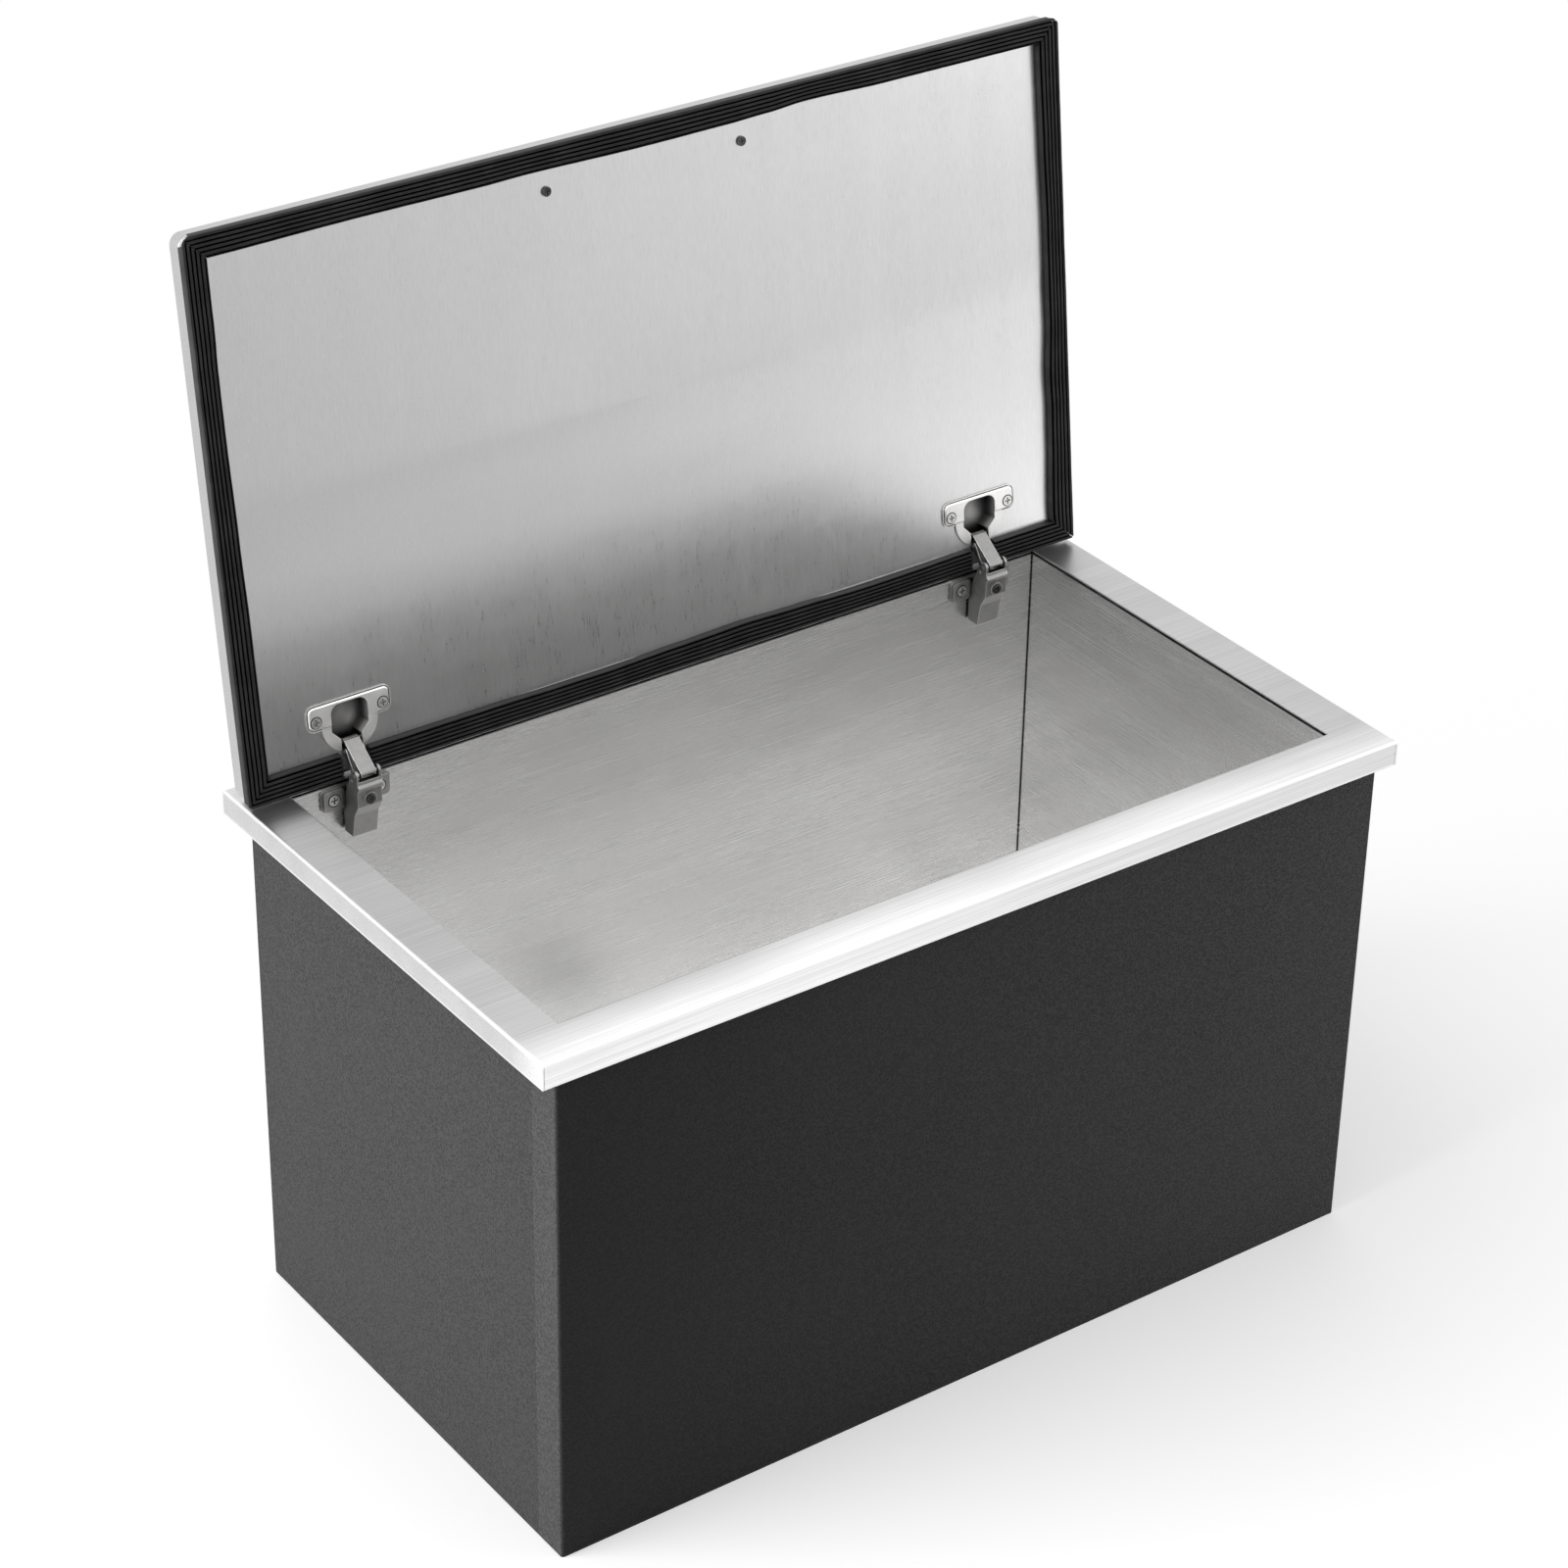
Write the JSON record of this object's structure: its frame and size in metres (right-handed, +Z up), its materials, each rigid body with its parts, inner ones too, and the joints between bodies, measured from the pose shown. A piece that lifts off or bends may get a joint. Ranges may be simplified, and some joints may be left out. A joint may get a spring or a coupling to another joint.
{
  "type": "drop in ice bin",
  "caption": "Insulated drop in ice bin: deep stainless tub in a foam jacket, flanged rim, floor drain and a gasketed lid on concealed cup hinges, standing open.",
  "frame": {"origin": "centre of the flat underside of the insulated jacket, where the bin stands", "axes": "+X along the width towards the right hand side, +Y from the front towards the hinged side, +Z up out of the tub"},
  "size_m": [0.6518, 0.4254, 0.7407],
  "materials": {
    "stainless_sheet": "brushed",
    "nickel_plate": "satin nickel plate",
    "screw_steel": "plated",
    "jacket_foam": "fine grained closed cell foam",
    "gasket_rubber": "satin",
    "core_foam": "rigid foam",
    "handle_bar": "brushed bar",
    "drain_steel": "satin",
    "drain_rubber": "matt"
  },
  "bodies": {
    "bin": {"tub_liner": "stainless_sheet", "rim_flange": "stainless_sheet", "jacket_front": "jacket_foam", "jacket_rear": "jacket_foam", "jacket_left": "jacket_foam", "jacket_right": "jacket_foam", "jacket_bottom": "jacket_foam", "drain_body": "drain_steel", "drain_strainer": "drain_steel", "drain_washer": "drain_rubber", "drain_locknut": "drain_steel", "hinge_arm_left": "nickel_plate", "hinge_arm_right": "nickel_plate", "mounting_plate_left": "nickel_plate", "mounting_plate_right": "nickel_plate", "arm_pins": "screw_steel", "arm_screws": "screw_steel", "plate_screws": "screw_steel"},
    "outer_links": {"outer_link_left": "nickel_plate", "outer_link_right": "nickel_plate"},
    "inner_links": {"inner_link_left": "nickel_plate", "inner_link_right": "nickel_plate"},
    "lid": {"lid_pan": "stainless_sheet", "lid_inner_panel": "stainless_sheet", "lid_core": "core_foam", "lid_handle": "handle_bar", "handle_screws": "screw_steel", "hinge_cup_left": "nickel_plate", "hinge_cup_right": "nickel_plate", "cup_pins": "screw_steel", "cup_screws": "screw_steel", "gasket_front": "gasket_rubber", "gasket_left": "gasket_rubber", "gasket_right": "gasket_rubber", "gasket_back_left": "gasket_rubber", "gasket_back_middle": "gasket_rubber", "gasket_back_right": "gasket_rubber"}
  },
  "joints": [
    {"name": "outer_link_swing", "type": "hinge", "parent": "bin", "child": "outer_links", "pos_m": [0, 0.14145, 0.3795], "axis": [1, 0, 0], "range_deg": [-39.5, 0]},
    {"name": "inner_link_swing", "type": "hinge", "parent": "bin", "child": "inner_links", "pos_m": [0, 0.14495, 0.3744], "axis": [1, 0, 0], "range_deg": [-34.1, 0]},
    {"name": "lid_hinge", "type": "hinge", "parent": "outer_links", "child": "lid", "pos_m": [0, 0.16106, 0.39341], "axis": [1, 0, 0], "range_deg": [0, 136.51], "deforming": ["gasket_left", "gasket_right", "gasket_back_left", "gasket_back_middle", "gasket_back_right"]}
  ],
  "couplings": [
    {"joint": "outer_link_swing", "follows": "lid_hinge", "ratio": -0.28857},
    {"joint": "inner_link_swing", "follows": "lid_hinge", "ratio": -0.24906}
  ]
}
